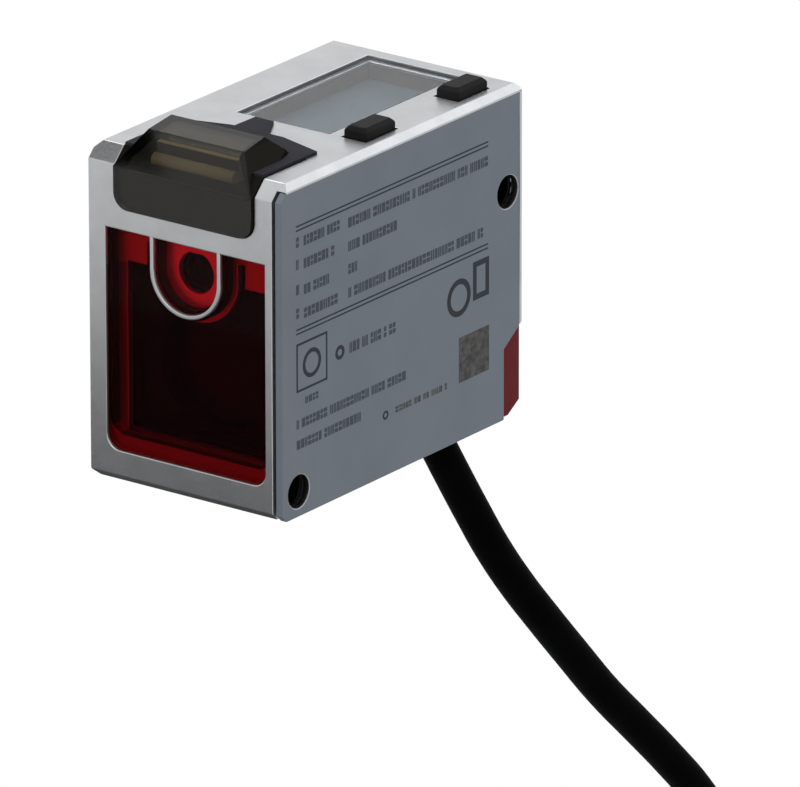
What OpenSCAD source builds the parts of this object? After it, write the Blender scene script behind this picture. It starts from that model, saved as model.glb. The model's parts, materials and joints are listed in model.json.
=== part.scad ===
// Laser photoelectric sensor with a pigtail cable. Millimetres, +Z up, front windows facing -Y.
// The origin is the middle between the two mounting holes, on the left face, which goes against the bracket.

/* [Case] */
// Width of the case, from the mounting face to the outside of the side cover
case_w = 30; // [29:0.5:34]
// Depth of the case, front to rear
case_d = 50.5; // [50:0.5:56]
// Height of the case
case_h = 44; // [43:0.5:48]
// Thickness of the cast walls
wall = 1.4; // [1.2:0.1:1.6]
// Chamfer along the long edges
edge_chamfer = 0.9; // [0.4:0.1:1]
// Chamfer across the top of the front face
brow_chamfer = 2; // [1:0.1:2.4]

/* [Side cover] */
// Thickness of the side cover
cover_t = 1; // [0.8:0.1:1.2]
// Thickness of the gasket under the cover
gasket_t = 0.5; // [0.4:0.1:0.7]
// How far the gasket stays back from the outer faces
gasket_inset = 0.6; // [0.4:0.1:0.7]
// Gap between the cover and the lips of the case
cover_gap = 0.05; // [0.05:0.05:0.2]
// Width of the lip behind the cover
rear_lip = 0.5; // [0.4:0.1:0.7]

/* [Mounting holes] */
// Radius of the mounting holes
hole_r = 2.15; // [1.6:0.05:2.2]
// Wall round each mounting hole
hole_wall = 0.9; // [0.7:0.1:1.1]
// Front hole, distance from the front face
front_hole_y = 3.5; // [3.4:0.1:3.6]
// Front hole, height above the bottom
front_hole_z = 3.3; // [3.2:0.1:3.4]
// Rear hole, distance from the rear face
rear_hole_inset = 3; // [3:0.1:3.6]
// Rear hole, drop from the top
rear_hole_drop = 13.7; // [13.2:0.1:14.4]
// Countersink at the outer mouth of each hole
hole_chamfer = 0.2; // [0.1:0.05:0.3]

/* [Front window] */
// Width of the frame at each side of the windows
window_frame = 2.6; // [2.5:0.1:3.4]
// Height of the sill under the window
sill_h = 4.2; // [4:0.1:4.6]
// Drop from the top of the case to the top of the window
window_drop = 10.5; // [10:0.1:11.5]
// Radius of the lower window corners
window_corner_r = 2; // [1:0.1:3]
// How far the panes stay back from the front face
pane_recess = 0.35; // [0.2:0.05:0.4]
// Thickness of the panes
pane_t = 0.6; // [0.5:0.05:0.6]
// Width of the black foam seal behind the upper and side edges of the panes
seal_w = 0.3; // [0.2:0.05:0.5]
// Depth of the ledge that the seal rests on, from the front face
ledge_y = 2.4; // [2:0.1:2.6]
// Width of the ledge
ledge_w = 1.4; // [1:0.1:1.8]
// Height of the step above the sill, to which the receiver pane is bonded
sill_ledge_h = 1.85; // [1.4:0.05:2]
// Side of the square boss behind each upper window corner
boss_side = 4.8; // [4:0.1:4.8]
// Depth of the front wall
front_t = 3.4; // [3.2:0.1:3.8]

/* [Emitter] */
// Radius of the U-shaped rib at its middle
rib_r = 5.2; // [4.9:0.1:5.5]
// Thickness of the rib
rib_t = 0.55; // [0.45:0.05:0.9]
// Drop from the top of the case to the beam
beam_drop = 14.7; // [14.4:0.1:15.2]
// Radius of the opening that the beam passes
aperture_r = 2.6; // [2:0.1:2.8]
// Radius of the barrel
barrel_r = 3.9; // [3.5:0.1:4]

/* [Receiver] */
// Drop from the top of the case to the middle of the receiver lens
lens_drop = 28.6; // [28.2:0.1:29]
// Radius of the receiver lens
lens_r = 8; // [7:0.1:8.2]
// Thickness of the receiver lens at its middle
lens_t = 2.8; // [2.2:0.1:3.2]
// Depth kept behind the optical block for the boards and the cable entry
rear_room = 26.5; // [26:0.1:27.2]

/* [Indicator] */
// Distance from each side of the case to the indicator cap
cap_inset = 4.3; // [4.2:0.1:5]
// How far each side of the cap leans in up to its crest
cap_lean = 3.25; // [3:0.05:4]
// Radius of the lower corners of the cap
cap_corner_r = 2.2; // [1:0.1:2.6]
// Drop from the top of the case to the lower edge of the cap
cap_drop = 7.6; // [7.2:0.1:8]
// How far the cap stands proud of the front face
cap_proud = 0.5; // [0.3:0.1:0.8]
// Height of the cap above the top of the case
cap_rise = 3.3; // [2.8:0.1:3.6]
// Depth of the raised part of the cap
cap_d = 10.8; // [10.4:0.1:11]
// Wall of the cap
cap_wall = 1.1; // [0.9:0.1:1.3]
// Thickness of the rubber flange round the cap
flange_t = 0.4; // [0.3:0.1:0.6]
// Depth of the flange at its sides
flange_d = 13.2; // [12.8:0.1:13.6]

/* [Display] */
// Distance from each side of the case to the display window
display_inset = 7.75; // [7.75:0.05:8.5]
// Distance from the rear of the case to the display window
display_rear = 2.6; // [2.4:0.1:4]
// Distance from the front face to the display window
display_y = 20.3; // [20.2:0.1:21]
// Thickness of the display window
display_t = 0.7; // [0.6:0.05:0.8]
// How far the display window stays below the top face
display_recess = 0.3; // [0.2:0.05:0.35]
// Rim that carries the display window
display_rim = 0.6; // [0.5:0.1:1.2]
// Depth of the display panel below the top face
panel_drop = 3.3; // [2.8:0.1:3.4]
// Depth of the space between the display board and the roof
display_space = 3.2; // [3:0.1:3.6]
// Thickness of the circuit boards
board_t = 1; // [0.8:0.1:1.2]

/* [Buttons] */
// Width of a button
button_w = 3.5; // [3:0.1:3.6]
// Depth of a button
button_d = 6.4; // [5.6:0.1:6.6]
// Height of a button above the top face
button_rise = 1.5; // [0.9:0.1:1.6]
// Gap between a button and its opening
button_gap = 0.2; // [0.15:0.05:0.25]
// Distance from the side cover's outside to the middle of the buttons
button_inset = 4; // [4:0.1:4.2]
// Distance from the front face to the middle of the front button
front_button_y = 23.7; // [22:0.1:26]
// Distance from the rear face to the middle of the rear button
rear_button_inset = 7.4; // [7.2:0.1:9]
// Travel of a button
button_travel = 0.35; // [0.25:0.05:0.4]

/* [Cable] */
// Diameter of the cable
cable_d = 4.8; // [4.4:0.1:5]
// Wall of the cable entry block round the cable seal
gland_wall = 1; // [0.8:0.1:1.1]
// Wall of the rubber seal on the cable
seal_wall = 0.9; // [0.7:0.1:1]
// Length of the strain relief outside the case
relief_l = 5; // [4:0.5:6]
// Diameter of a lead's insulation
lead_d = 1.1; // [0.9:0.1:1.3]

/* [Plug] */
// Diameter of the plug's grip
plug_d = 12; // [11:0.2:13]
// Length of the plug's grip
plug_l = 24; // [20:1:28]
// Diameter of the coupling screw
coupling_d = 14.6; // [14:0.2:15]
// Diameter of the plug's thread
thread_d = 12; // [11.8:0.1:12]

/* [Hidden] */
$fn = 48;

// Overshoot of a cut past the face it opens
cut = 1;
// Clearance of a piece dropped into a pocket
fit = 0.1;

// Faces of the case: X is centred, Y starts at the front face and Z at the bottom
left_x = -case_w / 2;
right_x = case_w / 2;
rim_x = right_x - cover_t - gasket_t;
ceiling_z = case_h - wall;
cover_top_z = case_h - edge_chamfer - cover_gap;
cover_rear_y = case_d - rear_lip;

// Mounting holes as [y, z]
front_hole = [front_hole_y, front_hole_z];
rear_hole = [case_d - rear_hole_inset, case_h - rear_hole_drop];
pattern_middle = (front_hole + rear_hole) / 2;
hole_boss_r = hole_r + hole_wall;

// Chamfer along the rear edges
rear_chamfer = 0.6;
// Radius of the posts under the main board
board_post_r = 2;

// Notch under the rear edge, which the red entry block fills
notch_d = 3.9;
notch_h = 9.5;
notch_slope_h = 2.7;
notch_y = case_d - notch_d;

// Front window and what lies behind it
window_top_z = case_h - window_drop;
window_w = case_w - 2 * window_frame;
seal_gap = 0.05;
pane_rear_y = pane_recess + pane_t;
bond_gap = 0.05;
sill_ledge_y = pane_rear_y + bond_gap;
beam_z = case_h - beam_drop;
lens_z = case_h - lens_drop;
boss_x = window_w / 2 - boss_side / 2;
boss_z = window_top_z - boss_side / 2;
boss_l = 3.6;

// Screws that hold the optical block and the main board
screw_r = 0.7;
screw_head_r = 1.4;
screw_head_h = 0.9;
screw_l = 5;
ear_t = 2;
board_screw_inset = 2.2;
board_screw_rear_inset = 3;
slot_w = 0.8;
slot_l = 1.6;
slot_t = 0.4;

// Optical block and the board behind it
block_side_gap = 1.4;
block_gap = 0.2;
block_drop = 9.4;
block_y = front_t;
block_rear_y = case_d - rear_room;
block_half_w = case_w / 2 - wall - block_side_gap;
block_bottom_z = front_hole_z + hole_boss_r + block_gap;
block_shoulder_z = boss_z - boss_side / 2 - 4 * block_gap;
block_top_z = case_h - block_drop;
emitter_half_w = boss_x - boss_side / 2 - block_gap;
chamber_wall = 1.4;
lens_seat = 2.4;
lens_ring_t = 0.2;
lens_lip = 0.8;
chip_r = 2.6;
barrel_tail = 2.5;

// Indicator cap as widths, heights and depths
cap_w = case_w - 2 * cap_inset;
crest_w = cap_w - 2 * cap_lean;
cap_bottom_z = case_h - cap_drop;
cap_bevel_z = cap_bottom_z + 5.6;
cap_top_z = case_h + cap_rise;
cap_brow_y = 2.6;
cap_brow_drop = 0.7;
cap_crest_y = 7;
cap_skirt_z = ceiling_z - 1.2;
gasket_gap = 0.05;
apron_rear_y = cap_wall - cap_proud;
lamp_h = 0.6;
tongue_w = 5.4;
tongue_x = -0.9;
chevron_d = 1.9;
chevron_w = 8;

// Display, its board and the switches under the buttons
display_w = case_w - 2 * display_inset;
display_d = case_d - display_y - display_rear;
board_top_z = ceiling_z - display_space;
board_z = board_top_z - board_t;
display_seat_z = case_h - display_recess - display_t;
display_gasket_t = 0.4;
carrier_wall = 0.9;
panel_top_z = case_h - panel_drop;
rear_button_y = case_d - rear_button_inset;
button_x = right_x - button_inset;
button_flange = 0.6;
button_flange_t = 0.9;
button_rest_gap = 0.1;
button_flange_top_z = ceiling_z - button_rest_gap;
button_seal_t = 0.4;
button_seal_gap = 0.15;
switch_w = 3.2;
switch_d = 4.8;
switch_h = 1.4;
plunger_r = 0.9;

// Main board on the left wall
board_post_l = 2;
main_board_x = left_x + wall + board_post_l;
main_board_y = block_rear_y + 2.4;
main_board_d = 17;
main_board_z = 9;
main_board_h = 26;

// Processor and the flat cable's end on the main board
processor_side = 7;
processor_t = 1;
processor_y = main_board_y + 5;
processor_z = main_board_z + main_board_h / 2 + 1;
flex_w = 7;
flex_l = 5;
flex_t = 0.2;
flex_z = main_board_z + main_board_h - 4 - flex_w;

// Cable entry: the cable leaves through the bottom at exit_y and leans to the rear by exit_angle
exit_inset = 3.2;
exit_y = case_d - exit_inset;
exit_angle = 33;
cable_r = cable_d / 2;
cable_gap = 0.05;
seal_r = cable_r + seal_wall;
gland_r = seal_r + gland_wall;
gland_l = 8;
seal_l = 3.2;
mouth_l = 3;

// Connector of the leads on the main board
connector_y = main_board_y + 6;
connector_d = 10;
connector_z = main_board_z + 1;
connector_w = 3.4;
connector_h = 3.6;
connector_x = main_board_x + board_t + connector_w;

// Route of the cable's middle from the exit to the plug, as [y, z] from the exit
way = [[-4.1, 6.2], [0, 0], [3.1, -4.7], [6.1, -9.3], [8.8, -13.4], [12.9, -19.5], [17.3, -25.8],
    [22.5, -32.3], [28.6, -39.1], [35.1, -46.1], [41.9, -53.3], [49.9, -60.9], [56.5, -67.2],
    [63.1, -74], [69.7, -82.6], [75.3, -92.6], [79.3, -104], [81.3, -116], [81.7, -128],
    [81.7, -139], [81.7, -150], [81.7, -161]];
route = [for (step = way) step + [exit_y, 0]];
cable_sides = 12;
plug_y = route[len(route) - 1][0];
plug_top_z = route[len(route) - 1][1];

// Plug, measured down from its top
plug_neck_r = 3.6;
plug_neck_l = 9;
coupling_l = 13;
coupling_gap = 0.08;
thread_l = 6;
core_r = 4.3;
pin_r = 0.5;
pin_circle_r = 2.2;
o_ring_r = 0.6;

// Places a piece drawn in the case's own coordinates
module in_case() {
    translate([case_w / 2, -pattern_middle[0], -pattern_middle[1]]) children();
}

// Extrudes an outline drawn in Y and Z from x0 to x1
module along_x(x0, x1) {
    translate([x0, 0, 0]) rotate([90, 0, 90]) linear_extrude(x1 - x0) children();
}

// Extrudes an outline drawn in X and Z from y0 to y1
module along_y(y0, y1) {
    translate([0, y1, 0]) rotate([90, 0, 0]) linear_extrude(y1 - y0) children();
}

// Extrudes an outline drawn in X and Y from z0 to z1
module along_z(z0, z1) {
    translate([0, 0, z0]) linear_extrude(z1 - z0) children();
}

// Box between two corners
module box(low, high) {
    translate(low) cube(high - low);
}

// Cylinder along X, Y or Z from one place to another
module rod_x(at, r, x0, x1) {
    translate([x0, at[0], at[1]]) rotate([0, 90, 0]) cylinder(r = r, h = x1 - x0);
}

module rod_y(at, r, y0, y1, r2 = -1) {
    translate([at[0], y0, at[1]]) rotate([-90, 0, 0]) cylinder(r1 = r, r2 = r2 < 0 ? r : r2, h = y1 - y0);
}

module rod_z(at, r, z0, z1, r2 = -1) {
    translate([at[0], at[1], z0]) cylinder(r1 = r, r2 = r2 < 0 ? r : r2, h = z1 - z0);
}

// Countersink whose wide end is at x and which narrows towards the inside
module countersink_x(at, x, inward) {
    translate([x, at[0], at[1]]) rotate([0, -90 * inward, 0]) translate([0, 0, -cut])
        cylinder(r1 = hole_r + hole_chamfer + cut, r2 = hole_r, h = hole_chamfer + cut);
}

// Moves children to the cable's exit, with +Z pointing back up along the cable
module at_exit() {
    translate([0, exit_y, 0]) rotate([exit_angle, 0, 0]) children();
}

// Side view of the case, as [y, z]
module case_side(inset = 0) {
    notch_top = notch_h + notch_slope_h;
    polygon([
        [edge_chamfer + inset, inset], [notch_y - inset, inset],
        [notch_y - inset, notch_h + inset * 0.6], [case_d - inset, notch_top + inset * 0.6],
        [case_d - inset, case_h - rear_chamfer - inset], [case_d - rear_chamfer - inset, case_h - inset],
        [brow_chamfer + inset, case_h - inset], [inset, case_h - brow_chamfer - inset],
        [inset, edge_chamfer + inset]]);
}

// Front view of the case, as [x, z]
module case_front() {
    polygon([
        [left_x + edge_chamfer, 0], [right_x, 0], [right_x, case_h - edge_chamfer],
        [right_x - edge_chamfer, case_h], [left_x + edge_chamfer, case_h],
        [left_x, case_h - edge_chamfer], [left_x, edge_chamfer]]);
}

// Window opening in the front face, shrunk by g at the sides and by g_sill at the bottom
module window_outline(g = 0, g_sill = 0, g_top = 0) {
    half = window_w / 2 - g;
    low = sill_h + g_sill;
    high = window_top_z - g_top;
    r = max(window_corner_r - g, 0.2);
    translate([0, low]) cup_outline(half, high - low, r);
}

// Upright outline of height h that stands on Z = 0, with round lower corners
module cup_outline(half, h, r) {
    translate([-half, r]) square([2 * half, h - r]);
    translate([-half + r, 0]) square([2 * (half - r), r + fit]);
    for (side = [-1, 1])
        translate([side * (half - r), r]) circle(r = r);
}

// U that hangs from the upper edge of the window, with its round end below
module u_outline(r, top) {
    translate([0, beam_z]) circle(r = r);
    translate([-r, beam_z]) square([2 * r, top - beam_z]);
}

// Die-cast housing
module housing() {
    color("silver") in_case() difference() {
        union() {
            difference() {
                intersection() {
                    along_x(left_x, right_x) case_side();
                    along_y(-cut, case_d + cut) case_front();
                }
                housing_inside();
                housing_cover_seat();
                housing_window();
            }
            housing_rib();
            housing_bosses();
        }
        for (hole = [front_hole, rear_hole]) {
            rod_x(hole, hole_r, left_x - cut, right_x + cut);
            countersink_x(hole, right_x, 1);
        }
        housing_screw_holes();
        housing_cap_seat();
        housing_display_opening();
        for (y = [front_button_y, rear_button_y])
            translate([button_x, y, ceiling_z - cut]) linear_extrude(wall + 2 * cut)
                square([button_w + 2 * button_gap, button_d + 2 * button_gap], center = true);
        at_exit() translate([0, 0, -4 * cut]) cylinder(r = gland_r + fit, h = 2 * gland_l);
    }
}

// Hollow of the housing, open to the right
module housing_inside() {
    intersection() {
        along_x(left_x + wall, right_x + cut) case_side(wall);
        box([left_x, front_t, 0], [right_x + 2 * cut, case_d, case_h]);
    }
}

// Seat of the side cover and its gasket, inside a lip at the top and the rear
module housing_cover_seat() {
    box([rim_x, -cut, -cut], [right_x + cut, cover_rear_y, cover_top_z]);
}

// Stepped opening in the front wall
module housing_window() {
    along_y(-cut, sill_ledge_y) window_outline();
    along_y(-cut, ledge_y) window_outline(0, sill_ledge_h, 0);
    along_y(-cut, front_t + cut) window_outline(seal_w + ledge_w, sill_ledge_h, seal_w + ledge_w);
}

// U-shaped rib between the two windows, the ledge round it and the wall behind the emitter window
module housing_rib() {
    top = window_top_z + cut / 2;
    along_y(0, front_t) difference() {
        u_outline(rib_r + rib_t / 2, top);
        u_outline(rib_r - rib_t / 2, top + cut);
    }
    along_y(ledge_y, front_t) difference() {
        u_outline(rib_r + rib_t / 2 + seal_w + ledge_w / 2, top);
        translate([0, beam_z]) circle(r = aperture_r + fit);
    }
}

// Bosses for the mounting holes, the optical block and the main board
module housing_bosses() {
    intersection() {
        union() {
            rod_x(front_hole, hole_boss_r, left_x, rim_x);
            rod_x(rear_hole, hole_boss_r, left_x, rim_x);
        }
        along_x(left_x, right_x) difference() {
            case_side();
            square([ledge_y, case_h]);
        }
    }
    for (side = [-1, 1])
        box([side * boss_x - boss_side / 2, ledge_y, boss_z - boss_side / 2],
            [side * boss_x + boss_side / 2, front_t + boss_l, window_top_z + cut]);
    for (at = board_screw_places())
        rod_x(at, board_post_r, left_x + wall / 2, main_board_x);
}

// Places of the main board's screws, as [y, z]
function board_screw_places() = [
    [main_board_y + board_screw_inset, main_board_z + board_screw_inset],
    [main_board_y + board_screw_inset, main_board_z + main_board_h - board_screw_inset],
    [main_board_y + main_board_d - board_screw_rear_inset, main_board_z + main_board_h / 2]];

// Blind holes for the screws
module housing_screw_holes() {
    for (side = [-1, 1])
        rod_y([side * boss_x, boss_z], screw_r, front_t + boss_l + ear_t - screw_l, front_t + boss_l + cut);
    for (at = board_screw_places())
        rod_x(at, screw_r, left_x + wall, main_board_x + cut);
}

// Recess for the cap's front apron and the opening for its plug
module housing_cap_seat() {
    half = cap_w / 2 + fit;
    along_y(-cut, apron_rear_y + fit) translate([0, cap_bottom_z - fit])
        cup_outline(half, cap_drop + fit + cut, cap_corner_r + fit);
    box([-half, -cut, cap_skirt_z - fit], [half, cap_d + fit, case_h + cut]);
}

// Pocket for the display window, with a rim below it
module housing_display_opening() {
    half = display_w / 2;
    rear_y = display_y + display_d;
    box([-half, display_y, display_seat_z], [half, rear_y, case_h + cut]);
    box([-half + display_rim, display_y + display_rim, ceiling_z - cut],
        [half - display_rim, rear_y - display_rim, case_h + cut]);
}

// Outline of the side cover, as [y, z]
module cover_outline(inset) {
    intersection() {
        case_side();
        translate([inset, inset])
            square([cover_rear_y - cover_gap - 2 * inset, cover_top_z - cover_gap - 2 * inset]);
        case_side(inset > 0 ? inset : 0.001);
    }
}

// Flat cover on the right, with a countersink at each hole
module side_cover() {
    color("lightslategray") in_case() difference() {
        along_x(right_x - cover_t, right_x) cover_outline(0);
        for (hole = [front_hole, rear_hole]) {
            rod_x(hole, hole_r, rim_x, right_x + cut);
            countersink_x(hole, right_x, 1);
        }
    }
}

// Gasket between the rim of the housing and the cover
module cover_gasket() {
    color("dimgray") in_case() difference() {
        along_x(rim_x, right_x - cover_t) difference() {
            cover_outline(gasket_inset);
            case_side(wall);
        }
        for (hole = [front_hole, rear_hole])
            rod_x(hole, hole_boss_r, rim_x - cut, right_x);
    }
    color("dimgray") in_case() for (hole = [front_hole, rear_hole])
        intersection() {
            difference() {
                rod_x(hole, hole_boss_r, rim_x, right_x - cover_t);
                rod_x(hole, hole_r, rim_x - cut, right_x);
            }
            along_x(rim_x, right_x) cover_outline(gasket_inset);
        }
}

// Pane outlines: the receiver pane goes round the rib, the emitter pane fills it
module receiver_outline(g, g_sill) {
    difference() {
        window_outline(g, g_sill, g);
        u_outline(rib_r + rib_t / 2 + g, window_top_z + cut);
    }
}

module emitter_outline(g) {
    intersection() {
        u_outline(rib_r - rib_t / 2 - g, window_top_z);
        window_outline(g, g, g);
    }
}

module receiver_window() {
    color("darkred", 0.6) in_case() along_y(pane_recess, pane_rear_y) receiver_outline(fit, fit);
}

module emitter_window() {
    color("darkred", 0.6) in_case() along_y(pane_recess, pane_rear_y) emitter_outline(fit);
}

// Black foam seals between the panes and the ledge
module receiver_seal() {
    color("black") in_case() along_y(pane_rear_y, ledge_y) difference() {
        receiver_outline(seal_gap, sill_ledge_h + seal_gap);
        receiver_outline(seal_gap + seal_w, 0);
    }
}

module emitter_seal() {
    color("black") in_case() along_y(pane_rear_y, ledge_y) difference() {
        emitter_outline(seal_gap);
        emitter_outline(seal_gap + seal_w);
    }
}

// Smoky indicator cap: a faceted dome, an apron over the front face and a plug
module indicator_cap() {
    color("darkslategray") in_case() difference() {
        union() {
            cap_dome(0);
            cap_plug();
        }
        cap_dome(cap_wall);
    }
}

// The dome is where a side profile, a front outline and a plan cross; g shrinks it for the hollow
module cap_dome(g) {
    half = cap_w / 2 - g;
    crest_half = crest_w / 2 - g;
    low = g > 0 ? cap_skirt_z - 3 * cut : cap_bottom_z;
    foot = g > 0 ? [[cap_d - g, low]]
        : [[cap_d - g, cap_skirt_z], [apron_rear_y, cap_skirt_z], [apron_rear_y, low]];
    intersection() {
        along_x(-half, half) polygon(concat([
            [g - cap_proud, low], [g - cap_proud, cap_bevel_z - g * 0.4],
            [cap_brow_y + g * 0.4, cap_top_z - cap_brow_drop - g], [cap_crest_y - g * 0.2, cap_top_z - g],
            [cap_d - g, case_h + 0.3 - g * 0.5]], foot));
        along_y(-cut, cap_d + cut) cap_front(half, crest_half, low, g);
        along_z(0, cap_top_z + cut) polygon([
            [-half, g - cap_proud], [half, g - cap_proud], [half, cap_brow_y],
            [crest_half + 0.6, cap_d - g], [-crest_half - 0.6, cap_d - g], [-half, cap_brow_y]]);
    }
}

// Front outline of the dome, with round lower corners
module cap_front(half, crest_half, low, g) {
    r = cap_corner_r;
    polygon([[-half, low + r], [half, low + r], [half, cap_bevel_z - g * 0.4],
        [crest_half, cap_top_z - cap_brow_drop - g * 0.8], [crest_half - 0.5, cap_top_z + cut],
        [-crest_half + 0.5, cap_top_z + cut], [-crest_half, cap_top_z - cap_brow_drop - g * 0.8],
        [-half, cap_bevel_z - g * 0.4]]);
    translate([0, low]) cup_outline(half, r + fit, r);
}

// Straight plug that fills the opening in the housing, up to its top face
module cap_plug() {
    half = cap_w / 2;
    intersection() {
        box([-half, 0, cap_skirt_z], [half, cap_d, case_h]);
        along_x(left_x, right_x) case_side();
    }
}

// Rubber flange round the foot of the cap, with a chevron at the rear and a tongue to the display
module cap_gasket() {
    half = cap_w / 2;
    chevron_rear_y = flange_d + chevron_d;
    color([0.25, 0.25, 0.28]) in_case() difference() {
        along_z(case_h, case_h + flange_t) {
            polygon([[-half, brow_chamfer], [half, brow_chamfer], [half, flange_d],
                [chevron_w / 2, chevron_rear_y], [-chevron_w / 2, chevron_rear_y], [-half, flange_d]]);
            translate([tongue_x - tongue_w / 2, cap_d])
                square([tongue_w, display_y - cap_d - fit]);
        }
        cap_dome(-gasket_gap);
    }
}

// Milky light guide that shows as a lighter bar through the cap
module indicator_light_guide() {
    half = crest_w / 2 - cap_wall - 0.3;
    low = cap_skirt_z + lamp_h + fit / 2;
    front_y = 2.2;
    color("white") in_case() along_x(-half, half) polygon([
        [front_y, low], [cap_crest_y, low], [cap_crest_y, cap_top_z - cap_wall - 0.8],
        [cap_brow_y + 1.4, cap_top_z - cap_brow_drop - cap_wall - 0.7], [front_y, low + 1.1]]);
}

// Small board under the cap, against its skirt
module indicator_board() {
    color("green") in_case() box([-cap_w / 2 + 0.4, front_t + 0.2, cap_skirt_z - 0.8],
        [cap_w / 2 - 0.4, cap_d - 0.2, cap_skirt_z]);
}

// Row of lamps on the board
module indicator_lamps() {
    color("lemonchiffon") in_case() for (x = [-4, 0, 4])
        translate([x, cap_crest_y - 2, cap_skirt_z + lamp_h / 2]) cube([2, 1.6, lamp_h], center = true);
}

// Clear plate over the display, chamfered round its top edge
module display_window() {
    half = display_w / 2 - fit;
    low_y = display_y + fit;
    rear_y = display_y + display_d - fit;
    bevel = 0.4;
    color("lightsteelblue", 0.5) in_case() intersection() {
        along_y(low_y, rear_y) polygon(bevelled(-half, half, display_seat_z, display_t, bevel));
        along_x(-half, half) polygon(bevelled(low_y, rear_y, display_seat_z, display_t, bevel));
    }
}

// Section of a plate of thickness t with chamfered upper edges
function bevelled(from, to, z, t, bevel) = [[from, z], [to, z], [to, z + t - bevel], [to - bevel, z + t],
    [from + bevel, z + t], [from, z + t - bevel]];

// Upright frame round the opening under the display window, from z0 to z1
module display_frame(grow, z0, z1) {
    half = display_w / 2 - display_rim;
    low_y = display_y + display_rim;
    rear_y = display_y + display_d - display_rim;
    difference() {
        box([-half - grow, low_y - grow, z0], [half + grow, rear_y + grow, z1]);
        box([-half, low_y, z0 - cut], [half, rear_y, z1 + cut]);
    }
}

// Foam frame between the display carrier and the roof
module display_gasket() {
    color("black") in_case() display_frame(carrier_wall, ceiling_z - display_gasket_t, ceiling_z);
}

// Deep frame that carries the display panel below the roof
module display_carrier() {
    color("dimgray") in_case() display_frame(carrier_wall, board_top_z, ceiling_z - display_gasket_t);
}

// Display panel at the bottom of the carrier
module display_panel() {
    half = display_w / 2 - display_rim - fit / 2;
    color("lightslategray") in_case() box([-half, display_y + display_rim + fit / 2, board_top_z],
        [half, display_y + display_d - display_rim - fit / 2, panel_top_z]);
}

// Board under the display and the buttons
module display_board() {
    color("green") in_case() box([left_x + wall + 0.4, flange_d + 2, board_z],
        [rim_x - 0.3, case_d - wall - 0.4, board_top_z]);
}

// Push button: a chamfered key on a flange that keeps it in the housing
module push_button(y) {
    bevel = 0.5;
    top_z = case_h + button_rise;
    low_z = button_flange_top_z - button_flange_t;
    half_w = button_w / 2;
    half_d = button_d / 2;
    color("darkslategray") in_case() translate([button_x, y, 0]) {
        intersection() {
            along_y(-half_d, half_d) polygon(bevelled(-half_w, half_w, low_z, top_z - low_z, bevel));
            along_x(-half_w, half_w) polygon(bevelled(-half_d, half_d, low_z, top_z - low_z, bevel));
        }
        box([-half_w - button_flange, -half_d - button_flange, low_z],
            [half_w + button_flange, half_d + button_flange, button_flange_top_z]);
    }
}

module front_button() {
    push_button(front_button_y);
}

module rear_button() {
    push_button(rear_button_y);
}

// Rubber frame round a button's flange, against the roof
module button_seal(y) {
    inner_w = button_w + 2 * (button_flange + button_seal_gap);
    inner_d = button_d + 2 * (button_flange + button_seal_gap);
    color("black") in_case() translate([button_x, y, button_flange_top_z - button_flange_t])
        linear_extrude(button_flange_t + button_rest_gap) difference() {
            square([inner_w + 2 * button_seal_t, inner_d + 2 * button_seal_t], center = true);
            square([inner_w, inner_d], center = true);
        }
}

module front_button_seal() {
    button_seal(front_button_y);
}

module rear_button_seal() {
    button_seal(rear_button_y);
}

// Tact switch on the display board, with its plunger just clear of the pressed button
module tact_switch(y) {
    plunger_top_z = button_flange_top_z - button_flange_t - button_travel - fit;
    color("gray") in_case() translate([button_x, y, 0]) {
        translate([-switch_w / 2, -switch_d / 2, board_top_z]) cube([switch_w, switch_d, switch_h]);
        rod_z([0, 0], plunger_r, board_top_z + switch_h - fit, plunger_top_z);
    }
}

module front_switch() {
    tact_switch(front_button_y);
}

module rear_switch() {
    tact_switch(rear_button_y);
}

// Black optical block: a narrow top round the barrel, a wide bottom with the receiver chamber, and two ears
module optical_block() {
    ear_y = front_t + boss_l;
    color([0.12, 0.12, 0.13]) in_case() difference() {
        union() {
            box([-block_half_w, block_y, block_bottom_z], [block_half_w, block_rear_y, block_shoulder_z]);
            box([-emitter_half_w, block_y, block_shoulder_z - cut], [emitter_half_w, block_rear_y, block_top_z]);
            for (side = [-1, 1])
                box([side * boss_x - boss_side / 2, ear_y, boss_z - boss_side / 2],
                    [side * boss_x + boss_side / 2, ear_y + ear_t, boss_z + boss_side / 2]);
            box([-boss_x, ear_y, boss_z - boss_side / 2], [boss_x, ear_y + ear_t, boss_z + boss_side / 2]);
        }
        rod_y([0, beam_z], barrel_r + fit, block_y - cut, block_rear_y + cut);
        receiver_chamber();
        for (side = [-1, 1])
            rod_y([side * boss_x, boss_z], screw_r + fit, ear_y - cut, ear_y + ear_t + cut);
    }
}

// Chamber that narrows from the lens to the receiver chip
module receiver_chamber() {
    seat_y = block_y + lens_seat;
    cone_y = seat_y + lens_t + lens_ring_t;
    cone_rear_y = block_rear_y - 2;
    box([-block_half_w + chamber_wall, block_y - cut, lens_z - lens_r - fit],
        [block_half_w - chamber_wall, seat_y, beam_z - barrel_r - fit - 1]);
    rod_y([0, lens_z], lens_r + fit, block_y, cone_y);
    rod_y([0, lens_z], lens_r - lens_lip, cone_y - 0.01, cone_rear_y, chip_r);
    rod_y([0, lens_z], chip_r, cone_rear_y - 0.01, block_rear_y + cut);
}

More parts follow.
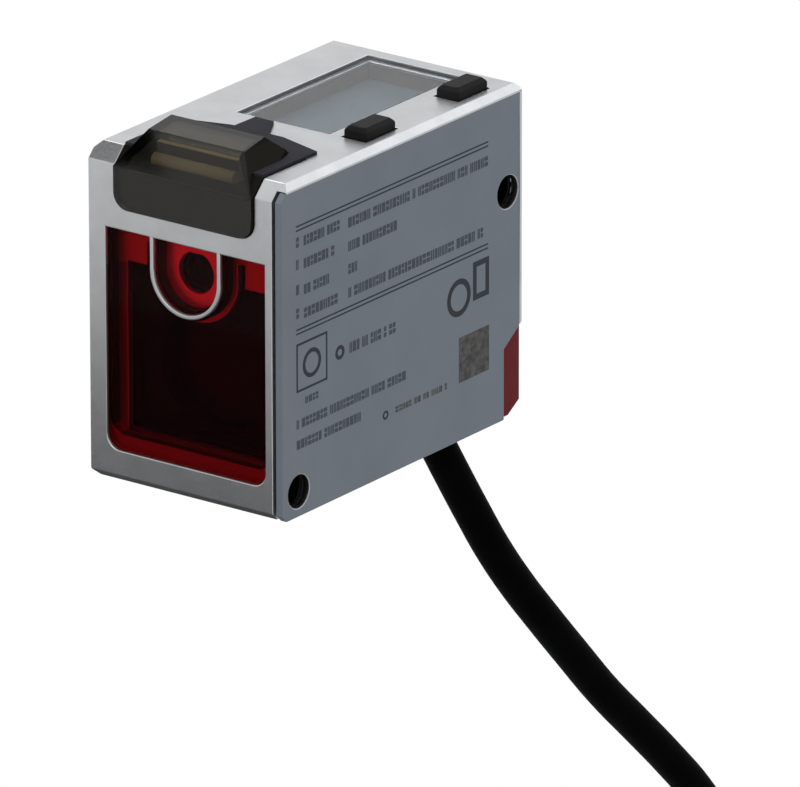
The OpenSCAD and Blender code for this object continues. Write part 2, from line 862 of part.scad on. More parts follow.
// Pan-head screws that hold the block by its ears
module block_screws() {
    head_y = front_t + boss_l + ear_t;
    color("silver") in_case() for (side = [-1, 1]) {
        rod_y([side * boss_x, boss_z], screw_r - fit / 2, head_y - screw_l + 0.4, head_y);
        difference() {
            rod_y([side * boss_x, boss_z], screw_head_r, head_y, head_y + screw_head_h, screw_head_r - 0.3);
            for (turn = [0, 90])
                translate([side * boss_x, head_y + screw_head_h, boss_z]) rotate([0, turn, 0])
                    cube([slot_l, slot_w, slot_t], center = true);
        }
    }
}

// Barrel of the laser, open at the front for the collimator and at the rear for the diode
module emitter_barrel() {
    front_y = block_y + fit;
    rear_y = block_rear_y - barrel_tail;
    color("goldenrod") in_case() difference() {
        rod_y([0, beam_z], barrel_r, front_y, rear_y);
        rod_y([0, beam_z], barrel_r - 0.8, front_y - cut, front_y + 3.2);
        rod_y([0, beam_z], aperture_r - 0.3, front_y, rear_y);
        rod_y([0, beam_z], 2.9, rear_y - 2.4, rear_y + cut);
    }
}

// Collimator lens: a disc with a bulged front
module collimator_lens() {
    r = barrel_r - 0.85;
    seat_y = block_y + fit + 3.2;
    bulge_r = 7;
    color("white", 0.5) in_case() intersection() {
        rod_y([0, beam_z], r, seat_y - 1.8, seat_y);
        translate([0, seat_y - 1.8 + bulge_r, beam_z]) rotate([90, 0, 0]) sphere(r = bulge_r);
    }
}

// Threaded ring that keeps the collimator in the barrel
module lens_ring() {
    front_y = block_y + fit + 0.2;
    color([0.15, 0.15, 0.15]) in_case() difference() {
        rod_y([0, beam_z], barrel_r - 0.85, front_y, front_y + 0.9);
        rod_y([0, beam_z], aperture_r - 0.3, front_y - cut, front_y + 2);
    }
}

// Laser diode in its can, with three legs through the sensor board
module laser_diode() {
    flange_rear_y = block_rear_y - barrel_tail;
    color("gold") in_case() {
        rod_y([0, beam_z], 2.8, flange_rear_y - 1.2, flange_rear_y);
        rod_y([0, beam_z], 1.8, flange_rear_y - 4, flange_rear_y - 1.2);
        for (turn = [90, 210, 330])
            rod_y([cos(turn), beam_z + sin(turn)], 0.22, flange_rear_y, block_rear_y + board_t + 0.6);
    }
}

// Receiver lens: flat at the rear and domed at the front
module receiver_lens() {
    rear_y = block_y + lens_seat + lens_t + lens_ring_t;
    dome_r = 16;
    color("white", 0.5) in_case() intersection() {
        rod_y([0, lens_z], lens_r, rear_y - lens_t, rear_y);
        translate([0, rear_y - lens_t + dome_r, lens_z]) rotate([90, 0, 0]) sphere(r = dome_r);
    }
}

// Receiver chip on the sensor board, inside the end of the chamber
module receiver_chip() {
    color([0.2, 0.1, 0.1]) in_case() box([-1.6, block_rear_y - 1.1, lens_z - 1.6], [1.6, block_rear_y, lens_z + 1.6]);
}

// Board against the rear of the optical block
module sensor_board() {
    color("green") in_case() difference() {
        box([-block_half_w, block_rear_y, block_bottom_z], [block_half_w, block_rear_y + board_t, block_top_z]);
        for (turn = [90, 210, 330])
            rod_y([cos(turn), beam_z + sin(turn)], 0.4, block_rear_y - cut, block_rear_y + board_t + cut);
    }
}

// Main board, upright on the bosses of the left wall
module main_board() {
    color("green") in_case() difference() {
        box([main_board_x, main_board_y, main_board_z],
            [main_board_x + board_t, main_board_y + main_board_d, main_board_z + main_board_h]);
        for (at = board_screw_places())
            rod_x(at, screw_r + fit, main_board_x - cut, main_board_x + board_t + cut);
    }
}

module board_screws() {
    face_x = main_board_x + board_t;
    color("silver") in_case() for (at = board_screw_places()) {
        rod_x(at, screw_r - fit / 2, main_board_x - 1.4, face_x);
        difference() {
            rod_x(at, screw_head_r, face_x, face_x + screw_head_h);
            for (turn = [0, 90])
                translate([face_x + screw_head_h, at[0], at[1]]) rotate([turn, 0, 0])
                    cube([slot_w, slot_l, slot_t], center = true);
        }
    }
}

module processor() {
    color([0.15, 0.15, 0.16]) in_case() translate([main_board_x + board_t, processor_y, processor_z])
        cube([processor_t, processor_side, processor_side]);
}

// Connector at the foot of the main board, where the leads end
module board_connector() {
    color("ivory") in_case() box([main_board_x + board_t, connector_y, connector_z],
        [connector_x, connector_y + connector_d, connector_z + connector_h]);
}

// Flat cable bent from the sensor board to the main board
module flex_cable() {
    inner_x = main_board_x + board_t;
    outer_x = inner_x + flex_l;
    near_y = block_rear_y + board_t;
    far_y = near_y + flex_l;
    color("orange") in_case() along_z(flex_z, flex_z + flex_w) polygon([
        [inner_x, near_y], [outer_x, near_y], [outer_x, near_y + flex_t], [inner_x + flex_t, near_y + flex_t],
        [inner_x + flex_t, far_y], [inner_x, far_y]]);
}

// Red entry block: it fills the notch and carries the gland that the cable comes out of
module cable_block() {
    near_y = notch_y + fit;
    back_y = cover_rear_y;
    slope = notch_slope_h / notch_d;
    low = 0.4;
    bevel = 1.5;
    color("firebrick") in_case() difference() {
        union() {
            along_x(left_x + 0.2, right_x - 0.1) polygon([
                [near_y, low], [back_y - bevel * 1.6, low], [back_y, low + bevel],
                [back_y, notch_h + slope * (back_y - notch_y) - fit], [near_y, notch_h - fit]]);
            intersection() {
                at_exit() translate([0, 0, -2 * cut]) cylinder(r = gland_r, h = gland_l + 2 * cut);
                along_x(-case_w, case_w) polygon([[0, low], [back_y - bevel * 1.6, low], [back_y, low + bevel],
                    [back_y, case_h], [0, case_h]]);
            }
        }
        at_exit() {
            translate([0, 0, -4 * cut]) cylinder(r = cable_r + 0.9, h = 4 * cut + mouth_l);
            translate([0, 0, mouth_l - 0.01]) cylinder(r = seal_r, h = gland_l);
        }
    }
}

// Ring round the cable, from one place along it to another
module cable_ring(r, from, to) {
    color("black") in_case() at_exit() difference() {
        translate([0, 0, from]) cylinder(r = r, h = to - from);
        translate([0, 0, from - cut]) cylinder(r = cable_r + cable_gap, h = to - from + 2 * cut);
    }
}

module cable_seal() {
    cable_ring(seal_r, mouth_l, mouth_l + seal_l);
}

module cable_clamp() {
    color("silver") cable_ring(seal_r, mouth_l + seal_l, gland_l - 0.4);
}

// Strain relief: a tapered sleeve below the case, with a neck in the mouth of the block
module strain_relief() {
    root_r = cable_r + 0.85;
    color("black") in_case() difference() {
        union() {
            at_exit() translate([0, 0, -relief_l]) cylinder(r = root_r, h = relief_l + mouth_l);
            intersection() {
                at_exit() translate([0, 0, -relief_l]) cylinder(r1 = cable_r + 0.7, r2 = cable_r + 1.9, h = relief_l + 4);
                box([-case_w, 0, -2 * relief_l], [case_w, 2 * case_d, -fit]);
            }
        }
        at_exit() translate([0, 0, -2 * relief_l]) cylinder(r = cable_r + cable_gap, h = 4 * relief_l);
    }
}

// Unit vector
function unit(v) = v / norm(v);

// Direction of a route at point i
function heading(points, i) = unit(points[min(i + 1, len(points) - 1)] - points[max(i - 1, 0)]);

// Tube of n sides swept along points; side is a direction that the route never takes
module tube(points, r, n, side) {
    count = len(points);
    rings = [for (i = [0 : count - 1])
        let (ahead = heading(points, i), u = unit(cross(ahead, side)), v = cross(ahead, u))
        for (k = [0 : n - 1]) points[i] + r * (cos(360 * k / n) * u + sin(360 * k / n) * v)];
    walls = [for (i = [0 : count - 2], k = [0 : n - 1], half = [0, 1])
        half == 0 ? [i * n + k, i * n + (k + 1) % n, (i + 1) * n + k]
            : [i * n + (k + 1) % n, (i + 1) * n + (k + 1) % n, (i + 1) * n + k]];
    ends = [[for (k = [0 : n - 1]) n - 1 - k], [for (k = [0 : n - 1]) (count - 1) * n + k]];
    polyhedron(points = rings, faces = concat(ends, walls), convexity = 4);
}

// Cable from the clamp in the entry block to the plug
module cable() {
    color([0.08, 0.08, 0.09]) in_case() tube([for (p = route) [0, p[0], p[1]]], cable_r, cable_sides, [1, 0, 0]);
}

// One of the four leads, from the end of the cable to its place in the board connector
module lead(index, shade) {
    spread = lead_d * 0.6;
    across = index < 2 ? spread : -spread;
    level = index % 2 == 0 ? -spread : spread;
    inner_end = route[0];
    back = [0, -sin(exit_angle), cos(exit_angle)];
    up = [0, cos(exit_angle), sin(exit_angle)];
    start = [across, inner_end[0], inner_end[1]] + up * level + back * 0.1;
    goal_y = connector_y + connector_d * (index + 0.5) / 4;
    goal = [connector_x, goal_y, connector_z + connector_h / 2];
    color(shade) in_case() tube([start, start + back * 1.6,
        [start[0] - 1.6, (start[1] + goal_y) / 2, goal[2]], goal + [1.6, 0, 0], goal], lead_d / 2, 8, [0, 1, 1]);
}

module lead_brown() {
    lead(0, "saddlebrown");
}

module lead_white() {
    lead(1, "white");
}

module lead_blue() {
    lead(2, "royalblue");
}

module lead_black() {
    lead(3, "black");
}

// Places a piece of the plug, with Z down from the top of its neck
module at_plug() {
    translate([0, plug_y, plug_top_z + plug_neck_l]) children();
}

// Moulded grip with flutes, and a neck on the cable
module plug_body() {
    grip_r = plug_d / 2;
    grip_z = -plug_neck_l;
    color([0.1, 0.1, 0.1]) in_case() at_plug() difference() {
        rotate_extrude() polygon([
            [0, 0], [plug_neck_r, 0], [plug_neck_r + 0.4, grip_z], [grip_r, grip_z - 3],
            [grip_r, grip_z - plug_l + 1], [grip_r - 0.5, grip_z - plug_l], [0, grip_z - plug_l]]);
        rod_z([0, 0], cable_r + cable_gap, grip_z, cut);
        for (turn = [0 : 45 : 315])
            rotate(turn) rod_z([grip_r + 1, 0], 1.6, grip_z - plug_l + 4, grip_z - 4);
    }
}

// Coupling screw: a fluted ring with the male thread below it, free to turn on the insert
module plug_coupling() {
    ring_r = coupling_d / 2;
    color("silver") in_case() at_plug() translate([0, 0, -plug_neck_l - plug_l - coupling_gap]) difference() {
        rotate_extrude() polygon([
            [core_r + coupling_gap, 0], [ring_r - 0.6, 0], [ring_r, -0.6], [ring_r, -coupling_l + 2],
            [ring_r - 0.8, -coupling_l + 1.2], [thread_d / 2 - 0.8, -coupling_l + 1.2],
            [thread_d / 2 - 0.8, -coupling_l], [thread_d / 2, -coupling_l - 0.3],
            [thread_d / 2, -coupling_l - thread_l + 0.6], [thread_d / 2 - 0.6, -coupling_l - thread_l],
            [core_r + coupling_gap, -coupling_l - thread_l]]);
        for (turn = [0 : 20 : 340])
            rotate(turn) rod_z([ring_r + 0.5, 0], 0.9, -coupling_l + 3, -1);
    }
}

// Contact carrier with its key slot
module plug_insert() {
    top_z = -plug_neck_l - plug_l;
    low_z = top_z - coupling_l - thread_l + 4.4;
    color([0.08, 0.08, 0.08]) in_case() at_plug() difference() {
        rod_z([0, 0], core_r, low_z, top_z);
        rod_z([0, core_r], 0.7, low_z - cut, low_z + 3);
        for (turn = [45 : 90 : 315])
            rotate(turn) rod_z([pin_circle_r, 0], pin_r, low_z - cut, low_z + 4);
    }
}

// Four contact pins, seated in the carrier
module plug_pins() {
    top_z = -plug_neck_l - plug_l - coupling_l - thread_l + 4.4;
    color("gold") in_case() at_plug() for (turn = [45 : 90 : 315])
        rotate(turn) {
            rod_z([pin_circle_r, 0], pin_r, top_z - 3.2, top_z + 4);
            rod_z([pin_circle_r, 0], pin_r - 0.2, top_z - 3.6, top_z - 3.2, pin_r);
        }
}

// O-ring in the groove above the thread
module plug_o_ring() {
    groove_r = thread_d / 2 - 0.8;
    color("black") in_case() at_plug()
        translate([0, 0, -plug_neck_l - plug_l - coupling_gap - coupling_l + 0.6])
            rotate_extrude() translate([groove_r + o_ring_r, 0]) circle(r = o_ring_r - 0.02, $fn = 20);
}

housing();
side_cover();
cover_gasket();
receiver_window();
receiver_seal();
emitter_window();
emitter_seal();
indicator_cap();
cap_gasket();
indicator_light_guide();
indicator_board();
indicator_lamps();
display_window();
display_gasket();
display_carrier();
display_panel();
display_board();
front_button();
rear_button();
front_button_seal();
rear_button_seal();
front_switch();
rear_switch();
optical_block();
block_screws();
emitter_barrel();
collimator_lens();
lens_ring();
laser_diode();
receiver_lens();
receiver_chip();
sensor_board();
main_board();
processor();
board_connector();
board_screws();
flex_cable();
cable_block();
cable_seal();
cable_clamp();
strain_relief();
lead_brown();
lead_white();
lead_blue();
lead_black();
cable();
plug_body();
plug_coupling();
plug_insert();
plug_pins();
plug_o_ring();
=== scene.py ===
import json
import math
import random

import bmesh
import bpy
from mathutils import Matrix, Vector


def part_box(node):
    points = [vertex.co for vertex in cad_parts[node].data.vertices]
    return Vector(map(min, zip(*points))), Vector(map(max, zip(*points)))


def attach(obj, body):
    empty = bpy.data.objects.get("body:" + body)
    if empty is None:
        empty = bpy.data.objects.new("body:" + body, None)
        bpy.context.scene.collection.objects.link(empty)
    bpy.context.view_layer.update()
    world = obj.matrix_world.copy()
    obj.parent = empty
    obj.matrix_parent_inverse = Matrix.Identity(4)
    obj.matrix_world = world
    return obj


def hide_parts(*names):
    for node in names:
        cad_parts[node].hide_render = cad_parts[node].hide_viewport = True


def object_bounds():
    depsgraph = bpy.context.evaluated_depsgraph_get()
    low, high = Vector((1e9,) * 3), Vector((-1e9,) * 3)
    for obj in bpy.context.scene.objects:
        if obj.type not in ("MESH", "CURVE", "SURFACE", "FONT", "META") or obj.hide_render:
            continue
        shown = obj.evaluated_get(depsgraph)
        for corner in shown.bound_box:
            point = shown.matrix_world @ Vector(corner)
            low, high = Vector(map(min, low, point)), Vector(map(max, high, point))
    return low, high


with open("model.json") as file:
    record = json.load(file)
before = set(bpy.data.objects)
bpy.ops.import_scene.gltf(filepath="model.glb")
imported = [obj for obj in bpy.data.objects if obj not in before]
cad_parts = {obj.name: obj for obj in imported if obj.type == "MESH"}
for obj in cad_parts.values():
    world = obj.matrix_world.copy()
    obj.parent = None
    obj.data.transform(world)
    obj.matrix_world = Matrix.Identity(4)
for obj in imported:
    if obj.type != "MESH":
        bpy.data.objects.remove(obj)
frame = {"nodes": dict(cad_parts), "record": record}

NODES = frame["nodes"]
CAD_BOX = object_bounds()
MM = 0.001

# The case's own coordinates are X from its middle, Y from its front face and Z from its bottom, in mm.
# COVER_X is the outer face of the side cover, which is flush with the housing's rim
CASE_LOW, CASE_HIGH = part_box("housing")
CASE_FOOT = Vector(((CASE_LOW.x + CASE_HIGH.x) / 2, CASE_LOW.y, CASE_LOW.z))
COVER_X = (CASE_HIGH.x - CASE_LOW.x) / 2 / MM


def at(x, y, z):
    """Point in the row frame, in metres, of a place given in the case's coordinates in mm."""
    return Vector((CASE_FOOT.x + x * MM, CASE_FOOT.y + y * MM, CASE_FOOT.z + z * MM))


def add_object(name, data):
    """New object in the scene, with the given mesh, curve, lamp or camera."""
    thing = bpy.data.objects.new(name, data)
    bpy.context.scene.collection.objects.link(thing)
    return thing


# Camera: where the photograph was taken from, found from the edges of the case
PHOTO_W = 800
AZIMUTH = math.radians(36.475)
ELEVATION = math.radians(19.992)
ROLL = math.radians(-0.08)
EYE = (1017.967, -1332.135, 623.892)
FOCAL_PX = 14362
SENSOR = 36.0
CLIP_FROM = 0.1
CLIP_TO = 10


def make_camera():
    back = Vector((math.sin(AZIMUTH) * math.cos(ELEVATION), -math.cos(AZIMUTH) * math.cos(ELEVATION),
                   math.sin(ELEVATION)))
    level = Vector((math.cos(AZIMUTH), math.sin(AZIMUTH), 0))
    upright = back.cross(level)
    right = math.cos(ROLL) * level + math.sin(ROLL) * upright
    up = -math.sin(ROLL) * level + math.cos(ROLL) * upright
    camera = bpy.data.cameras.new("camera")
    camera.lens = FOCAL_PX / PHOTO_W * SENSOR
    camera.sensor_width = SENSOR
    camera.clip_start = CLIP_FROM
    camera.clip_end = CLIP_TO
    holder = add_object("camera", camera)
    turn = Matrix((right, up, back)).transposed()
    holder.matrix_world = Matrix.Translation(at(*EYE)) @ turn.to_4x4()
    bpy.context.scene.camera = holder


# Building blocks of the materials
MATERIALS = {}
NOISE_ROUGHNESS = 0.55
NOISE_SPAN = (0.3, 0.7)
DRIFT_STOPS = (0.35, 0.65)
WHOLE_SPAN = (0, 1)


def new_material(name):
    """Adds a material to MATERIALS, and gives its node tree and its shader."""
    material = bpy.data.materials.new(name)
    material.use_nodes = True
    MATERIALS[name] = material
    return material.node_tree, material.node_tree.nodes["Principled BSDF"]


def math_node(tree, kind, operation, *sources):
    """Adds a Math or Vector Math node, fed from the sockets of other nodes or with plain values."""
    node = tree.nodes.new(kind)
    node.operation = operation
    for socket, source in zip(node.inputs, sources):
        if isinstance(source, bpy.types.NodeSocket):
            tree.links.new(source, socket)
        else:
            socket.default_value = source
    return node


def number(tree, operation, *sources):
    """Result of an operation on numbers."""
    return math_node(tree, "ShaderNodeMath", operation, *sources).outputs["Value"]


def vector(tree, operation, *sources):
    """Result of an operation on vectors that gives a vector."""
    return math_node(tree, "ShaderNodeVectorMath", operation, *sources).outputs["Vector"]


def parts(tree, source):
    """Sockets X, Y and Z with the parts of a vector."""
    node = tree.nodes.new("ShaderNodeSeparateXYZ")
    tree.links.new(source, node.inputs["Vector"])
    return node.outputs


def object_place(tree):
    """Place of the shaded point in the object's own coordinates."""
    return tree.nodes.new("ShaderNodeTexCoord").outputs["Object"]


def noise(tree, size_mm, detail):
    """Noise whose features are about size_mm across, in the object's own coordinates."""
    texture = tree.nodes.new("ShaderNodeTexNoise")
    texture.inputs["Scale"].default_value = 1 / (size_mm * MM)
    texture.inputs["Detail"].default_value = detail
    texture.inputs["Roughness"].default_value = NOISE_ROUGHNESS
    tree.links.new(object_place(tree), texture.inputs["Vector"])
    return texture.outputs["Fac"]


def map_range(tree, value, span, result):
    """Maps the span of the value to the range of the result, and holds it at the range's ends."""
    node = tree.nodes.new("ShaderNodeMapRange")
    node.inputs["From Min"].default_value, node.inputs["From Max"].default_value = span
    node.inputs["To Min"].default_value, node.inputs["To Max"].default_value = result
    tree.links.new(value, node.inputs["Value"])
    return node.outputs["Result"]


def drift_colour(tree, value, dark, light):
    """Colour that drifts between two shades with a noise."""
    ramp = tree.nodes.new("ShaderNodeValToRGB")
    for stop, position, shade in zip(ramp.color_ramp.elements, DRIFT_STOPS, (dark, light)):
        stop.position = position
        stop.color = (*shade, 1)
    tree.links.new(value, ramp.inputs["Fac"])
    return ramp.outputs["Color"]


def paint_over(tree, shader, mask, colour):
    """Changes the shader's base colour to another one where the mask is 1."""
    base = shader.inputs["Base Color"]
    mix = tree.nodes.new("ShaderNodeMix")
    mix.data_type = "RGBA"
    if base.is_linked:
        tree.links.new(base.links[0].from_socket, mix.inputs["A"])
    else:
        mix.inputs["A"].default_value = base.default_value
    mix.inputs["B"].default_value = (*colour, 1)
    tree.links.new(mask, mix.inputs["Factor"])
    tree.links.new(mix.outputs["Result"], base)


def surface(name, dark, light, rough, grain, metallic=0.0, level=0.5, drift_mm=6.0, detail=5):
    """Opaque material whose colour drifts from dark to light, with a range of roughness and a fine grain.

    The grain is its size and its height in mm, and level is the shader's specular level."""
    tree, shader = new_material(name)
    shader.inputs["Metallic"].default_value = metallic
    shader.inputs["Specular IOR Level"].default_value = level
    colour = drift_colour(tree, noise(tree, drift_mm, detail - 1), dark, light)
    tree.links.new(colour, shader.inputs["Base Color"])
    grain_mm, grain_h_mm = grain
    texture = noise(tree, grain_mm, detail)
    tree.links.new(map_range(tree, texture, NOISE_SPAN, rough), shader.inputs["Roughness"])
    bump = tree.nodes.new("ShaderNodeBump")
    bump.inputs["Distance"].default_value = grain_h_mm * MM
    tree.links.new(texture, bump.inputs["Height"])
    tree.links.new(bump.outputs["Normal"], shader.inputs["Normal"])
    return tree, shader


# Clear pieces: size, detail and range of their faint unevenness, and the roughness of their dull coat
UNEVEN_MM = 2.5
UNEVEN_DETAIL = 2
UNEVEN_ROUGH = 0.04
HAZE_ROUGH = 0.6


def clear(name, colour, rough, ior, haze=0.0):
    """Clear or tinted plastic or glass with a faint unevenness, which lets the lamps' light through.

    Light keeps the colour once for each wall that it crosses, which is two faces of the shell. The haze is
    the weight of a dull coat."""
    tree, shader = new_material(name)
    shader.inputs["Base Color"].default_value = (*colour, 1)
    shader.inputs["Transmission Weight"].default_value = 1.0
    shader.inputs["IOR"].default_value = ior
    shader.inputs["Coat Weight"].default_value = haze
    shader.inputs["Coat Roughness"].default_value = HAZE_ROUGH
    uneven = map_range(tree, noise(tree, UNEVEN_MM, UNEVEN_DETAIL), NOISE_SPAN, (rough, rough + UNEVEN_ROUGH))
    tree.links.new(uneven, shader.inputs["Roughness"])
    path = tree.nodes.new("ShaderNodeLightPath")
    let_through = tree.nodes.new("ShaderNodeBsdfTransparent")
    let_through.inputs["Color"].default_value = (*(math.sqrt(c) for c in colour), 1)
    mix = tree.nodes.new("ShaderNodeMixShader")
    tree.links.new(path.outputs["Is Shadow Ray"], mix.inputs["Fac"])
    tree.links.new(shader.outputs[0], mix.inputs[1])
    tree.links.new(let_through.outputs[0], mix.inputs[2])
    tree.links.new(mix.outputs[0], tree.nodes["Material Output"].inputs["Surface"])
    return tree, shader


# Mounting bores as y and z of their axes, with the radii of the cover's bore, of its countersink and of the
# painted shade inside the casting's bores
BORES = ((3.5, 3.3), (47.5, 30.3))
BORE_R = 2.2
COUNTERSINK_R = 2.32
BORE_SHADE_R = 2.5
ALONG_Y_AND_Z = (0, 1, 1)


def near_bores(tree, radius):
    """1 within radius, in mm, of the axis of either mounting hole, and 0 elsewhere."""
    found = 0
    for y, z in BORES:
        offset = vector(tree, "SUBTRACT", object_place(tree), at(0, y, z))
        flat = vector(tree, "MULTIPLY", offset, ALONG_Y_AND_Z)
        away = math_node(tree, "ShaderNodeVectorMath", "LENGTH", flat).outputs["Value"]
        found = number(tree, "MAXIMUM", found, number(tree, "LESS_THAN", away, radius * MM))
    return found


def in_box(tree, low, high):
    """1 inside the box between two places in the case's coordinates, and 0 elsewhere."""
    middle = (at(*low) + at(*high)) / 2
    half = (at(*high) - at(*low)) / 2
    offset = vector(tree, "SUBTRACT", object_place(tree), middle)
    away = parts(tree, vector(tree, "ABSOLUTE", vector(tree, "DIVIDE", offset, half)))
    farthest = number(tree, "MAXIMUM", number(tree, "MAXIMUM", away["X"], away["Y"]), away["Z"])
    return number(tree, "LESS_THAN", farthest, 1.0)


# Cast metal with painted shade: the seat under the cap, from just behind the front face, and the ledges
# behind the receiver window at its left side and its foot, each as two corners of a box
SHADED_CAP_SEAT = ((-10.85, 0.08, 36.3), (10.85, 10.95, 44.2))
SHADED_LEDGES = (((-12.6, 0.25, 4), (-9, 3, 28.4)), ((-12.6, 0.25, 4), (12.6, 3, 6.2)))
# Painted shade: near black, put in the mounting bores and in the seat under the cap
PAINTED_SHADE_DARK = (0.008, 0.008, 0.01)
# Painted shade: grey that darkens the ledges in the recess behind the receiver window
LEDGE_SHADE_GREY = (0.25, 0.255, 0.26)


def cast_metal():
    """Bare die-cast metal with painted shade: near black in the bores and under the cap, grey on the ledges.
    """
    tree, shader = surface("cast_metal", (0.455, 0.465, 0.48), (0.505, 0.515, 0.528),
                           rough=(0.3, 0.42), grain=(0.35, 0.008), metallic=0.85, drift_mm=4.0, detail=6)
    # Painted shade: the casting's bores are near black where shade falls inside them
    paint_over(tree, shader, near_bores(tree, BORE_SHADE_R), PAINTED_SHADE_DARK)
    # Painted shade: the seat under the cap is near black where the cap shades it
    paint_over(tree, shader, in_box(tree, *SHADED_CAP_SEAT), PAINTED_SHADE_DARK)
    for ledge in SHADED_LEDGES:
        # Painted shade on the ledges at the recess's left side and foot
        paint_over(tree, shader, in_box(tree, *ledge), LEDGE_SHADE_GREY)


# Bare metal where the countersinks cut through the paint
CUT_METAL = (0.42, 0.43, 0.44)


def cover_paint():
    """Satin paint, cut through to bare metal at the countersinks, with painted shade, near black, in the
    bores.
    """
    tree, shader = surface("cover_paint", (0.135, 0.158, 0.189), (0.148, 0.173, 0.205),
                           rough=(0.45, 0.58), grain=(0.16, 0.004), level=0.35, drift_mm=9.0)
    paint_over(tree, shader, near_bores(tree, COUNTERSINK_R), CUT_METAL)
    # Painted shade: the cover's bores are near black where shade falls inside them
    paint_over(tree, shader, near_bores(tree, BORE_R), PAINTED_SHADE_DARK)


# Smoky cap: a face carries painted shade, almost black, where the X of its normal is past END_SPAN, or its Y
# within BROW_SPREAD of BROW_Y. A dark face lets no light through and mirrors less
SMOKE = (0.27, 0.245, 0.185)
# Painted shade: the almost black colour of the cap's end facets and brow
SMOKE_SHADE = (0.012, 0.011, 0.008)
END_SPAN = (0.3, 0.7)
BROW_Y = -0.5
BROW_SPREAD = 0.25
SMOKE_LEVELS = (0.5, 0.03)
SMOKE_TRANSMISSION = (1.0, 0.0)


def smoky_plastic():
    """Smoky clear plastic, with painted shade that makes its end facets and brow almost black."""
    tree, shader = clear("smoky_plastic", SMOKE, rough=0.13, ior=1.36)
    normal = parts(tree, tree.nodes.new("ShaderNodeNewGeometry").outputs["True Normal"])
    ends = map_range(tree, number(tree, "ABSOLUTE", normal["X"]), END_SPAN, WHOLE_SPAN)
    brow = number(tree, "COMPARE", normal["Y"], BROW_Y, BROW_SPREAD)
    dark = number(tree, "MAXIMUM", ends, brow)
    # Painted shade: end facets and brow turn almost black by the direction of their normal
    paint_over(tree, shader, dark, SMOKE_SHADE)
    level = map_range(tree, dark, WHOLE_SPAN, SMOKE_LEVELS)
    tree.links.new(level, shader.inputs["Specular IOR Level"])
    transmission = map_range(tree, dark, WHOLE_SPAN, SMOKE_TRANSMISSION)
    tree.links.new(transmission, shader.inputs["Transmission Weight"])


def clear_materials():
    clear("red_filter", (0.57, 0.045, 0.063), rough=0.02, ior=1.07, haze=0.09)
    clear("emitter_filter", (0.8, 0.09, 0.12), rough=0.02, ior=1.07, haze=0.12)
    clear("clear_window", (0.9, 0.92, 0.94), rough=0.03, ior=1.19)
    clear("lens_glass", (0.9, 0.9, 0.9), rough=0.0, ior=1.12)


def rubbers_and_plastics():
    surface("black_rubber", (0.01, 0.01, 0.011), (0.016, 0.016, 0.017),
            rough=(0.6, 0.75), grain=(0.3, 0.01), level=0.2)
    surface("flange_rubber", (0.022, 0.022, 0.027), (0.03, 0.03, 0.036),
            rough=(0.6, 0.72), grain=(0.3, 0.008), level=0.05)
    surface("carrier_plastic", (0.03, 0.026, 0.026), (0.045, 0.04, 0.04),
            rough=(0.5, 0.6), grain=(0.4, 0.004), level=0.1)
    surface("milky_plastic", (0.8, 0.74, 0.58), (0.88, 0.82, 0.66),
            rough=(0.4, 0.5), grain=(0.4, 0.004))
    surface("guide_mask", (0.03, 0.024, 0.014), (0.045, 0.036, 0.022),
            rough=(0.5, 0.6), grain=(0.4, 0.004))
    surface("button_plastic", (0.013, 0.013, 0.013), (0.02, 0.019, 0.019),
            rough=(0.35, 0.45), grain=(0.2, 0.006), level=0.025)
    surface("optical_black", (0.002, 0.002, 0.0025), (0.004, 0.004, 0.0045),
            rough=(0.6, 0.7), grain=(0.2, 0.01), level=0.03)
    surface("entry_red", (0.11, 0.004, 0.005), (0.14, 0.006, 0.008),
            rough=(0.35, 0.45), grain=(0.15, 0.006), level=0.08)
    surface("plug_moulding", (0.008, 0.008, 0.008), (0.014, 0.014, 0.014),
            rough=(0.5, 0.6), grain=(0.12, 0.01), level=0.08)


def board_materials():
    surface("board_green", (0.01, 0.07, 0.03), (0.02, 0.1, 0.045), rough=(0.3, 0.4), grain=(0.6, 0.01))
    surface("lamp", (0.75, 0.7, 0.45), (0.85, 0.8, 0.55), rough=(0.15, 0.25), grain=(0.5, 0.003))
    surface("display_panel", (0.05, 0.078, 0.096), (0.06, 0.09, 0.108),
            rough=(0.25, 0.35), grain=(0.6, 0.002), level=0.05)
    surface("connector_ivory", (0.62, 0.58, 0.45), (0.7, 0.66, 0.52), rough=(0.4, 0.5), grain=(0.3, 0.005))
    surface("flex_film", (0.4, 0.14, 0.02), (0.5, 0.2, 0.04), rough=(0.25, 0.35), grain=(0.5, 0.003))


def plated_and_turned_metals():
    surface("switch_steel", (0.5, 0.5, 0.5), (0.6, 0.6, 0.6),
            rough=(0.3, 0.4), grain=(0.3, 0.003), metallic=1.0)
    surface("screw_steel", (0.5, 0.5, 0.51), (0.6, 0.6, 0.61),
            rough=(0.25, 0.35), grain=(0.2, 0.003), metallic=1.0)
    surface("barrel_brass", (0.03, 0.024, 0.016), (0.045, 0.036, 0.024),
            rough=(0.4, 0.5), grain=(0.2, 0.003), metallic=1.0)
    surface("gold_contact", (0.75, 0.52, 0.18), (0.85, 0.62, 0.24),
            rough=(0.2, 0.3), grain=(0.2, 0.002), metallic=1.0)
    surface("nickel", (0.46, 0.45, 0.43), (0.54, 0.53, 0.5),
            rough=(0.22, 0.34), grain=(0.15, 0.003), metallic=1.0)


# Shades of the insulation of the four leads
LEADS = {"brown": ((0.08, 0.03, 0.01), (0.11, 0.045, 0.015)),
         "white": ((0.6, 0.6, 0.6), (0.7, 0.7, 0.7)),
         "blue": ((0.01, 0.05, 0.25), (0.02, 0.07, 0.32)),
         "black": ((0.012, 0.012, 0.012), (0.02, 0.02, 0.02))}


